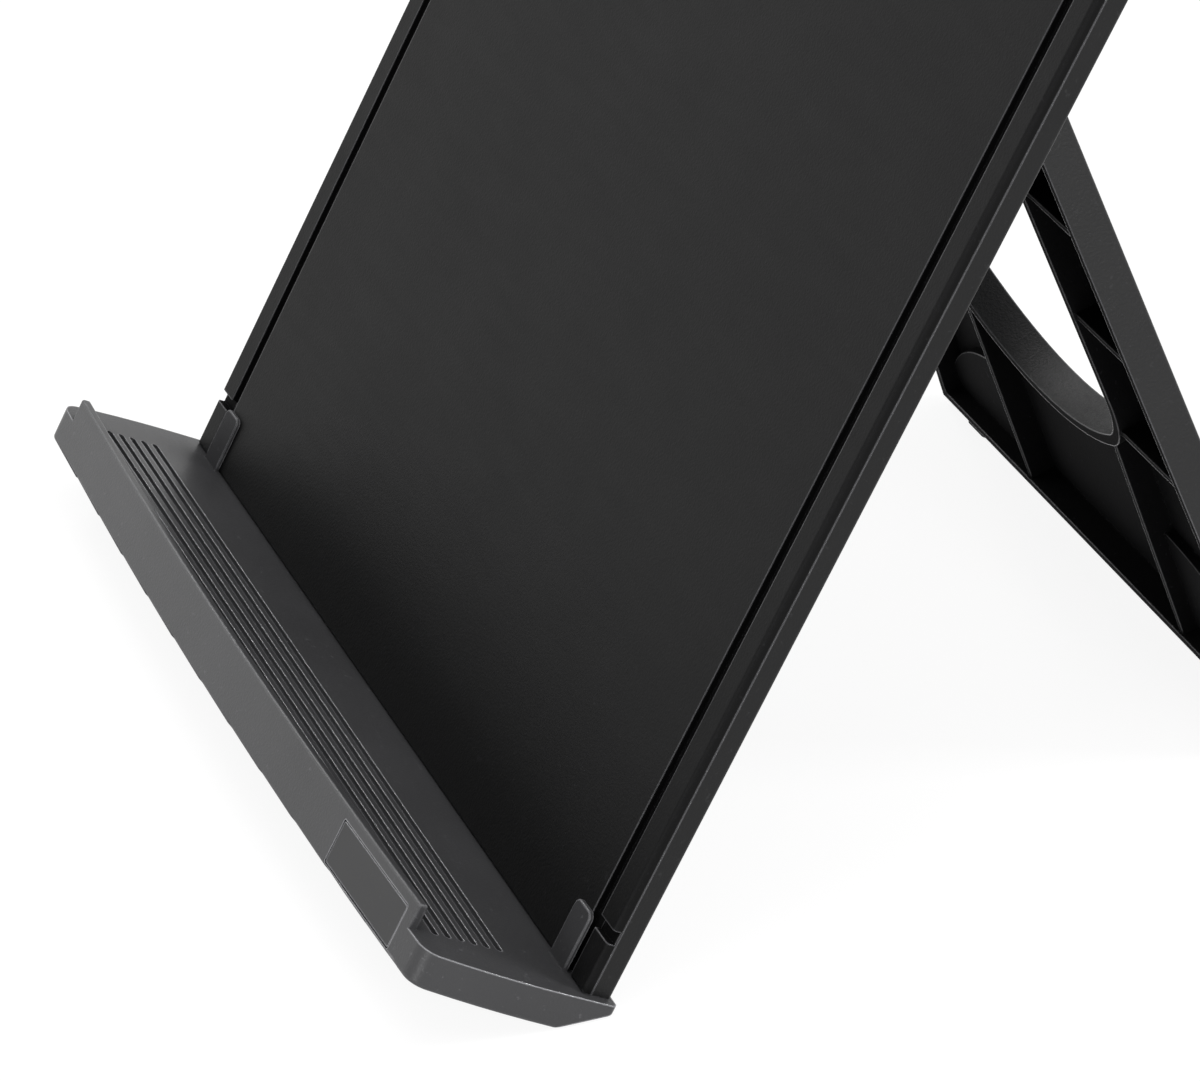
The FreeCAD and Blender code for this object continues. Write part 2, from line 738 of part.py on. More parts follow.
def document_tray():
    slab = prism("tray_slab", "XY", tray_outline("0"), TRAY_LOW, "0",
                 [("tray_corner", [0, 1]), ("tray_rear_corner", [3, 4])],
                 [("tray_edge", TRAY_LOW)])
    heel = [
        ("-heel_start", f"{TRAY_LOW} - 2"),
        ("tray_rear + 2", f"{TRAY_LOW} - 2"),
        ("tray_rear + 2", f"{TRAY_LOW} + (tray_rear + 2 + heel_start) * tan(board_tilt)"),
        ("-heel_start", TRAY_LOW),
    ]
    tools = [tray_hollow(), prism("heel_cut", "YZ", heel, f"-({TRAY_HALF}) - 1",
                                  f"{TRAY_HALF} + 1")]
    solids = [slab, fence()]
    for number in range(int(size("groove_count"))):
        y = f"-(groove_first + {number} * groove_pitch)"
        outline = rectangle("-groove_length / 2", "groove_length / 2",
                            f"{y} - groove_width / 2", f"{y} + groove_width / 2")
        tools.append(prism(f"groove_{number}", "XY", outline, "-groove_depth", "1",
                           [("groove_width * 0.49", [0, 1, 2, 3])]))
    for word, side in BOTH:
        x0, x1 = out(side, "tongue_outer - tongue_width", "tongue_outer")
        solids.append(prism(f"tongue_{word}", "XZ",
                            rectangle(x0, x1, "-tray_skin / 2", "tongue_height"),
                            "-tongue_thickness", "0", [("tongue_corner", [2, 3])],
                            [("tongue_edge", "-tongue_thickness")]))
        x0 = outward(side, "tray_screw_spread / 2")
        tools.append(rod(f"tray_clear_{word}", "z", "screw_shank + fit_gap", x0,
                         "tray_screw_rear", f"{TRAY_LOW} - 1", "tray_thickness + 2"))
        tools.append(rod(f"tray_seat_{word}", "z", "screw_head + fit_gap", x0,
                         "tray_screw_rear", f"{TRAY_LOW} - 1",
                         "tray_thickness + 1 - tray_screw_seat"))
        recess = heel_grip(f"grip_recess_{word}", side, "fit_gap")
        recess.Placement = board_place.inverse().multiply(desk_place)
        tools.append(recess)
    recess = badge("badge_recess", "-1", "badge_gap")
    recess.Placement = badge_frame()
    tools.append(recess)
    item = cut("document_tray_solid", fuse("document_tray_body", solids), tools)
    return node(item, "document_tray", board_place)


def tray_fittings():
    plate = badge("badge_plate", "badge_sink", "0")
    node(plate, "blank_badge", board_place.multiply(badge_frame()))
    screws, grips = [], []
    for word, side in BOTH:
        x0 = outward(side, "tray_screw_spread / 2")
        screws.append(screw(f"tray_screw_{word}", x0, "tray_screw_rear", "-tray_screw_seat",
                            "tray_screw_length", UPWARD))
        grips.append(heel_grip(f"grip_{word}", side, "0"))
    node(group("tray_screw_set", screws), "tray_screws", board_place)
    node(group("grip_set", grips), "heel_grips", desk_place)


# ---------------------------------------------------------------- hinge

def ring(name, radius, bore, x, length):
    """A flat ring on the hinge axis."""
    outer = rod(name + "_outer", "x", radius, x, "0", "0", length)
    inner = rod(name + "_bore", "x", bore, f"({x}) - 1", "0", "0", f"({length}) + 2")
    return cut(name, outer, [inner])


def hinge():
    """A rod through the lugs, washers that give it friction and caps that keep it in."""
    shaft = rod("hinge_shaft", "x", "rod_radius", f"-({STACK_END}) - cap_thickness",
                "0", "0", f"2 * ({STACK_END} + cap_thickness)")
    node(group("hinge_rod_set", [shaft]), "hinge_rod", axis_place)
    washers, caps = [], []
    for word, side in BOTH:
        spans = ((f"{KNUCKLE_NEAR} - washer_thickness", f"{KNUCKLE_NEAR} - fit_gap"),
                 (f"{KNUCKLE_FAR} + fit_gap", LUG_FAR))
        for number, (near, far) in enumerate(spans):
            x0, x1 = out(side, near, far)
            washers.append(ring(f"washer_{word}{number}", "washer_radius",
                                "rod_radius + fit_gap", x0, f"({x1}) - ({x0})"))
        x0, x1 = out(side, STACK_END, f"{STACK_END} + cap_thickness")
        caps.append(ring(f"cap_{word}", "cap_radius", "rod_radius + fit_gap / 2", x0,
                         "cap_thickness"))
    node(group("washer_set", washers), "hinge_friction_washers", axis_place)
    node(group("cap_set", caps), "hinge_rod_caps", axis_place)


# ---------------------------------------------------------------- easel leg

FLARE = "((leg_foot_width - leg_top_width) / 2 / leg_reach)"
BEHIND = "leg_depth / 2"
BEFORE = "-leg_depth / 2"
FLOOR = f"{BEHIND} - leg_skin"
LOW = "(leg_depth * tan(leg_turn))"
LEG_TOP = "(leg_reach - leg_shoulder)"


def half_width(height):
    """Half the width of the leg, height above the rim edge of its foot."""
    return f"(leg_foot_width / 2 - {FLARE} * ({height}))"


def trapezoid(low, high, inset):
    """The leg seen from behind, between two heights above the foot, drawn in by an inset."""
    wide, narrow = f"({half_width(low)} - {inset})", f"({half_width(high)} - {inset})"
    return [(f"-{wide}", f"{low} - leg_reach"), (wide, f"{low} - leg_reach"),
            (narrow, f"{high} - leg_reach"), (f"-{narrow}", f"{high} - leg_reach")]


def window(name, grow, start, end):
    """The opening of the leg: a bowed foot, sides along the leg's own, a rounded crown."""
    low, high = f"(window_low + window_sag - {grow})", f"({LEG_TOP} - window_crest + {grow})"
    wide = f"({half_width(low)} - rail_width + {grow})"
    narrow = f"({half_width(high)} - rail_width + {grow})"
    bow = f"({wide} ^ 2 + window_sag ^ 2) / (2 * window_sag)"
    corners = [(f"-{wide}", f"{low} - leg_reach", bow, 1), (wide, f"{low} - leg_reach"),
               (narrow, f"{high} - leg_reach"), (f"-{narrow}", f"{high} - leg_reach")]
    return prism(name, "XZ", corners, start, end,
                 [(f"window_corner + {grow}", [0, 1]), (f"window_crown + {grow}", [2, 3])])


def gusset(name, side):
    """A low shelf in each corner of the foot, under an arched edge."""
    foot = "leg_wall / 2 - leg_reach"
    outline = [("post_offset", foot), (f"{half_width('leg_wall / 2')} - leg_wall / 2", foot),
               (f"{half_width('gusset_end')} - leg_wall / 2", "gusset_end - leg_reach",
                "gusset_bow", 1),
               ("post_offset", "gusset_rise - leg_reach")]
    corners = handed(side, outline)[0]
    return prism(name, "XZ", corners, "0", f"{BEHIND} - leg_skin / 2")


def foot_pad(name, side, grow):
    """A rubber foot in the desk frame; grown, it is the recess that holds it."""
    x0, x1 = out(side, f"foot_centre - foot_length / 2 - {grow}",
                 f"foot_centre + foot_length / 2 + {grow}")
    front = (f"{AXIS_BACK} + leg_reach * sin(leg_turn) - leg_depth / 2 * cos(leg_turn)"
             " + foot_setback")
    return prism(name, "XY",
                 rectangle(x0, x1, f"{front} - {grow}", f"{front} + foot_width + {grow}"),
                 "0", f"foot_thickness + {grow}", [("foot_width * 0.3", [0, 1, 2, 3])])


def easel_leg():
    slab = prism("leg_slab", "XZ", trapezoid(f"-{LOW}", LEG_TOP, "0"), BEFORE, BEHIND,
                 [("leg_corner", [0, 1, 2, 3])], [("leg_edge", BEHIND)])
    hollow = prism("leg_hollow", "XZ",
                   trapezoid("leg_wall", f"{LEG_TOP} - leg_wall", "leg_wall"),
                   f"{BEFORE} - 1", FLOOR, [("leg_corner / 2", [0, 1, 2, 3])])
    solids = [cut("leg_tray", slab, [hollow]), window("leg_collar", "leg_wall", BEFORE, BEHIND)]
    last_rib = size(f"({LEG_TOP} - rib_first) / rib_pitch - 1 / 2")
    for number in range(int(last_rib) + 1):
        height = f"(rib_first + {number} * rib_pitch)"
        reach = f"({half_width(height)} - leg_wall / 2)"
        solids.append(block(f"leg_rib_{number}", f"-{reach}", reach, f"{BEFORE} + rib_drop",
                            FLOOR, f"{height} - rib_thickness / 2 - leg_reach",
                            f"{height} + rib_thickness / 2 - leg_reach"))
    for word, side in BOTH:
        x0, x1 = out(side, "post_offset - rib_thickness / 2",
                     "post_offset + rib_thickness / 2")
        solids.append(block(f"leg_post_{word}", x0, x1, f"{BEFORE} + rib_drop", FLOOR,
                            "leg_wall / 2 - leg_reach",
                            "window_low + window_sag / 2 - leg_reach"))
        solids.append(gusset(f"gusset_{word}", side))
        x0, x1 = out(side, KNUCKLE_NEAR, KNUCKLE_FAR)
        solids.append(block(f"knuckle_stem_{word}", x0, x1, BEFORE, BEHIND,
                            "-leg_shoulder - leg_wall", "0"))
        solids.append(rod(f"knuckle_{word}", "x", "hinge_radius", x0, "0", "0",
                          "knuckle_width"))
    sole = [
        (f"{BEFORE} - 1", f"-leg_reach - {LOW} - 2"),
        (f"{BEHIND} + 1", f"-leg_reach - {LOW} - 2"),
        (f"{BEHIND} + 1", "-leg_reach - (leg_depth + 1) * tan(leg_turn)"),
        (f"{BEFORE} - 1", "-leg_reach + tan(leg_turn)"),
    ]
    tools = [
        window("leg_window", "0", f"{BEFORE} - 1", f"{BEHIND} + 1"),
        prism("leg_sole_cut", "YZ", sole, "-leg_foot_width", "leg_foot_width"),
        rod("knuckle_bore", "x", "rod_radius + fit_gap", "-leg_top_width / 2", "0", "0",
            "leg_top_width"),
    ]
    for word, side in BOTH:
        recess = foot_pad(f"foot_recess_{word}", side, "fit_gap")
        recess.Placement = leg_place.inverse().multiply(desk_place)
        tools.append(recess)
    item = cut("easel_leg_solid", fuse("easel_leg_body", solids), tools)
    node(item, "easel_leg", leg_place)
    pads = [foot_pad(f"foot_{word}", side, "0") for word, side in BOTH]
    node(group("foot_set", pads), "leg_feet", desk_place)


# ---------------------------------------------------------------- line guide

SLIDER_OUT = f"({HALF} + slide_gap + slider_wall)"
SLIDER_IN = f"({TRACK} + slide_gap)"
LAP = f"({HALF} - slider_lap)"
SLEEVE = f"({HALF} + slide_gap)"
PLATE_FRONT = "(-slide_gap - slider_plate)"
HOOK = "(board_depth + slide_gap + leaf_bow + leaf_thickness)"
ARM_END = f"({PLATE_FRONT} - arm_length)"
ARM_OUT = f"({SLIDER_OUT} - slider_round)"
SLIDER_LOW = f"({GUIDE} - slider_length / 2)"
SLIDER_HIGH = f"({GUIDE} + slider_length / 2)"
BAR_SCREWS = (f"{GUIDE} - bar_screw_pitch / 2", f"{GUIDE} + bar_screw_pitch / 2")
BAR_FRONT = f"({ARM_END} - bar_thickness)"


def slider(word, side):
    """A channel that wraps one rim of the board, with a peg in the track and an arm."""
    back = f"{HOOK} + slider_wall"
    channel, rounds = handed(side, [
        (SLIDER_IN, PLATE_FRONT), (SLIDER_OUT, PLATE_FRONT), (SLIDER_OUT, back), (LAP, back),
        (LAP, HOOK), (SLEEVE, HOOK), (SLEEVE, "-slide_gap"), (SLIDER_IN, "-slide_gap"),
    ], [("slider_round", [1, 2]), ("slider_round / 3", [0, 3])])
    solids = [prism(f"{word}_channel", "XY", channel, SLIDER_LOW, SLIDER_HIGH, rounds)]
    x0, x1 = out(side, f"({TRACK} + track_width / 2) - peg_width / 2",
                 f"({TRACK} + track_width / 2) + peg_width / 2")
    solids.append(block(f"{word}_peg", x0, x1, "-slide_gap - slider_plate / 2", "peg_depth",
                        SLIDER_LOW, f"{SLIDER_LOW} + peg_height"))
    arm = [
        (ARM_END, f"{GUIDE} - arm_height / 2"),
        (f"{PLATE_FRONT} + slider_plate / 2", f"{GUIDE} - arm_height / 2 - arm_flare"),
        (f"{PLATE_FRONT} + slider_plate / 2", f"{GUIDE} + arm_height / 2 + arm_flare"),
        (ARM_END, f"{GUIDE} + arm_height / 2"),
    ]
    x0, x1 = out(side, f"{ARM_OUT} - arm_width", ARM_OUT)
    solids.append(prism(f"{word}_arm", "YZ", arm, x0, x1))
    x0, x1 = out(side, LAP, f"{SLEEVE} + slider_wall / 2")
    stop = f"{GUIDE} + leaf_length / 2 + fit_gap"
    solids.append(block(f"{word}_stop_high", x0, x1, f"{HOOK} - 2 * leaf_thickness",
                        f"{HOOK} + slider_wall / 2", stop, f"{stop} + leaf_stop"))
    stop = f"{GUIDE} - leaf_length / 2 - fit_gap"
    solids.append(block(f"{word}_stop_low", x0, x1, f"{HOOK} - 2 * leaf_thickness",
                        f"{HOOK} + slider_wall / 2", f"{stop} - leaf_stop", stop))
    tools = []
    for number in range(int(size("thumb_ribs"))):
        x0, x1 = out(side, f"{SLIDER_OUT} - thumb_depth", f"{SLIDER_OUT} + 1")
        z = f"{GUIDE} + ({number} - (thumb_ribs - 1) / 2) * thumb_pitch"
        tools.append(block(f"{word}_thumb_{number}", x0, x1, "0", "board_depth",
                           f"{z} - thumb_groove / 2", f"{z} + thumb_groove / 2"))
    for number, z in enumerate(BAR_SCREWS):
        x0 = outward(side, f"{ARM_OUT} - arm_width / 2")
        tools.append(rod(f"{word}_pilot_{number}", "y", "screw_shank + fit_gap", x0,
                         f"{ARM_END} - 1", z, "screw_length + 1 + fit_gap"))
    item = cut(f"{word}_slider_solid", fuse(f"{word}_slider_body", solids), tools)
    return node(item, f"{word}_slider", board_place)


def leaf(word, side):
    """A bowed strip of spring steel between the hook of a slider and the board's back."""
    bow = "((leaf_length / 2) ^ 2 + leaf_bow ^ 2) / (2 * leaf_bow)"
    low, high = f"{GUIDE} - leaf_length / 2", f"{GUIDE} + leaf_length / 2"
    corners = [(HOOK, low, bow, -1), (HOOK, high),
               (f"{HOOK} - leaf_thickness", high, bow, 1), (f"{HOOK} - leaf_thickness", low)]
    x0, x1 = out(side, f"{LAP} + fit_gap", f"{HALF} - fit_gap")
    return prism(f"leaf_{word}", "YZ", corners, x0, x1)


def line_guide():
    half = f"({SLIDER_OUT} + bar_overlap)"
    low, high = f"{GUIDE} - bar_height / 2", f"{GUIDE} + bar_height / 2"
    bead = f"{BAR_FRONT} - bar_bead / 2"
    section = [(bead, low), (ARM_END, low), (ARM_END, high), (BAR_FRONT, high),
               (BAR_FRONT, f"{low} + bar_bead"), (bead, f"{low} + bar_bead")]
    blank = prism("bar_blank", "YZ", section, f"-{half}", half,
                  [("bar_bead / 4", [0, 2, 3, 5])])
    holes, screws, leaves = [], [], []
    for word, side in BOTH:
        slider(word, side)
        leaves.append(leaf(word, side))
        x0 = outward(side, f"{ARM_OUT} - arm_width / 2")
        for number, z in enumerate(BAR_SCREWS):
            holes.append(rod(f"bar_hole_{word}{number}", "y", "screw_shank + fit_gap", x0,
                             f"{BAR_FRONT} - 1", z, "bar_thickness + 2"))
            screws.append(screw(f"bar_screw_{word}{number}", x0, BAR_FRONT, z,
                                "bar_thickness + screw_length", BACKWARD))
    node(cut("bar_solid", blank, holes), "clear_guide_bar", board_place)
    node(group("bar_screw_set", screws), "guide_bar_screws", board_place)
    node(group("leaf_set", leaves), "slider_leaf_springs", board_place)


# ---------------------------------------------------------------- sheet clip

CHEEK_IN = "(ear_inner + ear_width + slide_gap)"
CHEEK_OUT = f"({CHEEK_IN} + cheek_thickness)"
PIN_END = f"({CHEEK_OUT} + slide_gap)"
JAW_FRONT = "(-pivot_front - jaw_clear - jaw_thickness)"
JAW_IN = "(-pivot_front - jaw_clear)"
JAW_BEND = f"({JAW_MOUTH} + jaw_lip)"
JAW_KNEE = f"({PIVOT} - knee_drop)"
JAW_SHOULDER = f"({PIVOT} + shoulder_rise)"
LEVER_TOP = f"({PIVOT} + lever_rise)"
LEVER_FRONT = f"({JAW_FRONT} - lever_lean)"
MOUTH_IN = "(-jaw_gap - jaw_pad_thickness)"


def clip_base():
    """The plate on the board's face, with two ears that hold the pin."""
    solids = [prism("clip_plate_blank", "XZ",
                    rectangle("-clip_width / 2", "clip_width / 2", CLIP_FOOT, "board_height"),
                    "-clip_plate", "0", [("clip_corner", [0, 1]), ("board_corner", [2, 3])])]
    tools = []
    ear = [
        ("-pivot_front", f"{PIVOT} - ear_radius"),
        ("-clip_plate / 2", f"{PIVOT} - ear_foot"),
        ("-clip_plate / 2", f"{PIVOT} + ear_foot"),
        ("-pivot_front", f"{PIVOT} + ear_radius"),
    ]
    for word, side in BOTH:
        x0, x1 = out(side, "ear_inner", "ear_inner + ear_width")
        solids.append(prism(f"ear_{word}", "YZ", ear, x0, x1))
        solids.append(rod(f"ear_barrel_{word}", "x", "ear_radius", x0, "-pivot_front",
                          PIVOT, "ear_width"))
        x0 = outward(side, "clip_screw_offset")
        tools.append(rod(f"clip_clear_{word}", "y", "screw_shank + fit_gap", x0,
                         "-clip_plate - 1", "board_height - clip_screw_drop", "clip_plate + 2"))
    tools.append(rod("pin_bore", "x", "pin_radius + fit_gap", "-clip_width / 2",
                     "-pivot_front", PIVOT, "clip_width"))
    item = cut("clip_base_solid", fuse("clip_base_body", solids), tools)
    node(item, "clip_base", board_place)


def clip_jaw():
    """Jaw, lever and cheeks in one bent piece, with a rubber pad along its mouth."""
    mouth_out = f"{MOUTH_IN} - jaw_thickness"
    profile = [
        (MOUTH_IN, JAW_MOUTH), (MOUTH_IN, JAW_BEND), (JAW_IN, JAW_KNEE),
        (JAW_IN, JAW_SHOULDER), (f"{LEVER_FRONT} + jaw_thickness", LEVER_TOP),
        (LEVER_FRONT, LEVER_TOP), (JAW_FRONT, JAW_SHOULDER),
        (JAW_FRONT, f"{JAW_KNEE} - jaw_lean"), (mouth_out, f"{JAW_BEND} - jaw_lean"),
        (mouth_out, JAW_MOUTH),
    ]
    half = "jaw_width / 2"
    bent = prism("jaw_profile", "YZ", profile, f"-{half}", half,
                 [("jaw_thickness * 1.5", [7, 1]), ("jaw_thickness * 0.6", [2, 8]),
                  ("jaw_thickness * 0.4", [4, 5])])
    front = prism("jaw_front_view", "XZ", rectangle(f"-{half}", half, JAW_MOUTH, LEVER_TOP),
                  f"{LEVER_FRONT} - 1", "0", [("jaw_corner", [0, 1]), ("lever_corner", [2, 3])])
    plate = doc.addObject("Part::Common", "jaw_plate")
    plate.Base, plate.Tool = bent, front
    solids = [plate]
    cheek = [
        (f"{JAW_IN} - jaw_thickness / 2", f"{PIVOT} - cheek_foot"),
        ("-pivot_front", f"{PIVOT} - ear_radius"),
        ("-pivot_front", f"{PIVOT} + ear_radius"),
        (f"{JAW_IN} - jaw_thickness / 2", f"{PIVOT} + cheek_foot"),
    ]
    for word, side in BOTH:
        x0, x1 = out(side, CHEEK_IN, CHEEK_OUT)
        solids.append(prism(f"cheek_{word}", "YZ", cheek, x0, x1))
        solids.append(rod(f"cheek_barrel_{word}", "x", "ear_radius", x0, "-pivot_front",
                          PIVOT, "cheek_thickness"))
    bore = rod("jaw_bore", "x", "pin_radius + fit_gap", f"-{half}", "-pivot_front",
               PIVOT, "jaw_width")
    node(cut("clip_jaw_solid", fuse("clip_jaw_body", solids), [bore]), "clip_jaw", board_place)
    pad = rectangle(MOUTH_IN, "-jaw_gap", JAW_MOUTH, f"{JAW_BEND} - jaw_lean")
    node(prism("jaw_pad_solid", "YZ", pad, "-jaw_pad_length / 2", "jaw_pad_length / 2",
               [("jaw_pad_thickness / 3", [1, 2])]), "clip_jaw_pad", board_place)


def clip_fittings():
    """The pin the jaw turns on, the springs wound round it and the screws of the plate."""
    shaft = rod("pin_shaft", "x", "pin_radius", f"-{PIN_END}", "-pivot_front", PIVOT,
                f"2 * {PIN_END}")
    pin, screws, springs = [shaft], [], []
    for word, side in BOTH:
        x0, x1 = out(side, PIN_END, f"{PIN_END} + pin_head")
        pin.append(rod(f"pin_head_{word}", "x", "pin_head_radius", x0, "-pivot_front",
                       PIVOT, "pin_head"))
        x0 = outward(side, "clip_screw_offset")
        screws.append(screw(f"clip_screw_{word}", x0, "-clip_plate",
                            "board_height - clip_screw_drop", "clip_plate + screw_length",
                            BACKWARD))
        springs.append(coil(word, side))
    node(fuse("clip_pin_solid", pin), "clip_pin", board_place)
    node(group("clip_screw_set", screws), "clip_screws", board_place)
    node(group("clip_spring_set", springs), "clip_springs", board_place)


def coil(word, side):
    """A torsion spring: close turns, a leg against the plate and a short upper end."""
    wraps = "(coil_bore + coil_wire)"
    solids = []
    for number in range(int(size("coil_turns"))):
        turn = doc.addObject("Part::Torus", f"turn_{word}{number}")
        turn.Placement = FreeCAD.Placement(FreeCAD.Vector(), TURNS["x"])
        bind(turn, "Radius1", wraps)
        bind(turn, "Radius2", "coil_wire")
        x0 = outward(side, f"coil_inner + {number} * coil_pitch")
        solids.append(put(turn, x0, "-pivot_front", PIVOT))
    fall = size(f"(pivot_front - {wraps} - coil_wire - clip_plate - fit_gap) / coil_leg")
    for kind, at, y, length, lean in (
            ("leg", "coil_inner", f"-pivot_front + {wraps}", "coil_leg",
             180 + math.degrees(math.asin(fall))),
            ("stub", "coil_inner + (coil_turns - 1) * coil_pitch", f"-pivot_front - {wraps}",
             "coil_stub", size("coil_stub_turn"))):
        wire = rod(f"coil_{kind}_{word}", "z", "coil_wire", outward(side, at), y,
                   PIVOT, length)
        wire.Placement.Rotation = FreeCAD.Rotation(FreeCAD.Vector(1, 0, 0), lean)
        solids.append(wire)
    return fuse(f"clip_spring_{word}", solids)


# ---------------------------------------------------------------- the whole holder

front_shell()
rear_shell()
shell_screws()
document_tray()
tray_fittings()
hinge()
easel_leg()
line_guide()
clip_base()
clip_jaw()
clip_fittings()
doc.recompute()

for item in doc.Objects:
    if "Invalid" in item.State or "Error" in item.State:
        raise RuntimeError(f"{item.Name} did not compute: {item.State}")
for item in NODES:
    if item.Shape.isNull() or not item.Shape.isValid():
        raise RuntimeError(f"{item.Label} has no valid shape")

os.makedirs("parts", exist_ok=True)
for item in NODES:
    item.Shape.exportStep(f"parts/{item.Label}.step")
    print(item.Label, len(item.Shape.Solids), round(item.Shape.Volume))
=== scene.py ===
# %% [markdown]
# # Copy holder with a line guide
#
# A thin black board leans back on a ribbed easel leg and stands in a grooved ledge tray.
# A clear line guide slides up and down its two rims, and a sprung clip holds the sheets at
# the top.  The solid pieces come ready-made and to size as the frame of this scene, so most
# of the lesson is about their finish: how moulded plastic, rubber, zinc-plated steel and
# clear acrylic are told apart by small changes in colour, gloss and surface grain.

import json
import math

import bpy
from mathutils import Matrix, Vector


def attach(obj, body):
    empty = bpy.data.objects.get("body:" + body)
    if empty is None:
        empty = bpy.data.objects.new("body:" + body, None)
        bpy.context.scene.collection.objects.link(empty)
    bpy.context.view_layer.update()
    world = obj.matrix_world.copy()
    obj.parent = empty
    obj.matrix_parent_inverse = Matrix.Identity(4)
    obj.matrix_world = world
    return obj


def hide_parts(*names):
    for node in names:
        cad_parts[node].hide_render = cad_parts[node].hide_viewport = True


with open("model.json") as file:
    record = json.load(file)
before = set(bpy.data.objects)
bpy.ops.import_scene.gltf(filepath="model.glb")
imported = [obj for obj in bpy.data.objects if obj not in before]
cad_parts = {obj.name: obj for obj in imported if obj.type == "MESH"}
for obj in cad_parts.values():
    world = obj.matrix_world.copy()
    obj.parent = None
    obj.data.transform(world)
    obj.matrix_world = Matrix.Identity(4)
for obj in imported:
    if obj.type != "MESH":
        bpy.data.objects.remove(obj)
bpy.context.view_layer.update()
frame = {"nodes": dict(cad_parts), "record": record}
nodes = frame["nodes"]
print("nodes:", len(nodes))

# %% [markdown]
# The camera stands to the right of the holder and well above it, with a long lens, so the
# board's face is seen at a shallow angle and its right edge comes towards us.  A lens shift
# slides the picture sideways without turning the camera, which keeps the perspective of the
# tray as it is.  The focal length is given in pixels of the picture's width, and the width
# of the sensor turns it into millimetres.

# %% Camera
IMAGE_WIDTH = 1200
SENSOR_WIDTH = 36.0
FOCAL_PIXELS = 5531.4
CAMERA_PLACE = (0.90434, -0.36760, 0.57080)
CAMERA_TURN = (60.869, 0.855, 69.417)
LENS_SHIFT = (0.0712, -0.0005)
NEAREST_SEEN = 0.01

camera_data = bpy.data.cameras.new("camera")
camera_data.sensor_width = SENSOR_WIDTH
camera_data.lens = FOCAL_PIXELS / IMAGE_WIDTH * SENSOR_WIDTH
camera_data.shift_x, camera_data.shift_y = LENS_SHIFT
camera_data.clip_start = NEAREST_SEEN
camera = bpy.data.objects.new("camera", camera_data)
camera.location = CAMERA_PLACE
camera.rotation_euler = [math.radians(angle) for angle in CAMERA_TURN]
bpy.context.scene.collection.objects.link(camera)
bpy.context.scene.camera = camera
print("lens:", round(camera_data.lens, 1), "mm")

# %% [markdown]
# Shader nodes are sums drawn as boxes and wires.  Writing them as sums is shorter, so this
# small class wraps one output of a node: `1 - mask` or `grain * 0.2` adds the Math node by
# itself, and every other kind of node comes from its one method `add`.


# %% Shader sums
class Wire:
    """One output of a shader node, on which sums can be written."""

    def __init__(self, tree, socket=None):
        self.tree = tree
        self.socket = socket

    def add(self, kind, settings=None, sockets=None, output=0):
        """Add a node: its settings first, then the values or wires of its sockets."""
        node = self.tree.nodes.new("ShaderNode" + kind)
        for name, value in (settings or {}).items():
            if name == "stops":
                fill_ramp(node.color_ramp, value)
            else:
                setattr(node, name, value)
        for key, value in (sockets or {}).items():
            connect(self.tree, value, node.inputs[key])
        return Wire(self.tree, node.outputs[output])

    def maths(self, operation, first, second):
        return self.add("Math", {"operation": operation}, {0: first, 1: second})

    def __add__(self, other):
        return self.maths("ADD", self, other)

    def __mul__(self, other):
        return self.maths("MULTIPLY", self, other)

    def __sub__(self, other):
        return self.maths("SUBTRACT", self, other)

    def __rsub__(self, other):
        return self.maths("SUBTRACT", other, self)

    __radd__ = __add__
    __rmul__ = __mul__


def connect(tree, value, socket):
    """Link a wire to a socket, or set the socket's own value."""
    if isinstance(value, Wire):
        tree.links.new(value.socket, socket)
    else:
        socket.default_value = value


def fill_ramp(curve, stops):
    """Set the stops of a ramp from (position, grey) pairs; a new stop starts halfway."""
    while len(curve.elements) < len(stops):
        curve.elements.new(0.5)
    for element, (position, tone) in zip(curve.elements, stops):
        element.position = position
        element.color = (tone, tone, tone, 1)


print("shader sums ready")

# %% [markdown]
# All the materials start alike: a Principled shader with a few fixed values, and wires only
# for what changes over the surface.  Texture coordinates are the object's own, in metres, so
# a grain of a given size stays that size on every piece.


# %% A blank material, noise and tints
def blank(name, **fixed):
    """A material with a Principled shader whose fixed values are set, and a first wire."""
    material = bpy.data.materials.new(name)
    material.use_nodes = True
    shader = material.node_tree.nodes["Principled BSDF"]
    for key, value in fixed.items():
        shader.inputs[key.replace("_", " ")].default_value = value
    place = Wire(material.node_tree).add("TexCoord", output="Object")
    return material, shader, place


def noise(place, size, detail=2.0, roughness=0.5, stretch=(1, 1, 1)):
    """Cloudy noise from 0 to 1 whose blotches are about `size` metres across."""
    spread = place.add("Mapping", None, {"Vector": place, "Scale": stretch})
    return place.add("TexNoise", None, {"Vector": spread, "Scale": 1 / size,
                                        "Detail": detail, "Roughness": roughness})


def ramp(mask, *stops):
    """The mask passed through a ramp of (position, value) pairs."""
    return mask.add("ValToRGB", {"stops": stops}, {"Fac": mask})


def between(mask, low, high):
    """A value that runs from low to high as the mask runs from 0 to 1."""
    return mask * (high - low) + low


def tint(mask, first, second):
    """A colour that runs from the first to the second as the mask runs from 0 to 1."""
    return mask.add("Mix", {"data_type": "RGBA"},
                    {"Factor": mask, 6: first, 7: second}, output=2)


def grey(tone, cool=1.05):
    """A grey a little on the cool side."""
    return (tone, tone, tone * cool, 1)


def finish(shader, place, colour, rough, normal):
    """Wire up the three inputs that change over every surface."""
    for key, value in (("Base Color", colour), ("Roughness", rough), ("Normal", normal)):
        connect(place.tree, value, shader.inputs[key])


print("helpers ready")

# %% [markdown]
# The grain of these pieces is some hundredths of a millimetre high or less and never shows in
# an outline, so it needs no geometry: a Bump node only tilts the normal.  A dot product tells
# how far two directions agree.  Where one finish gives way to another, a Mix Shader blends
# two whole shaders by a mask.


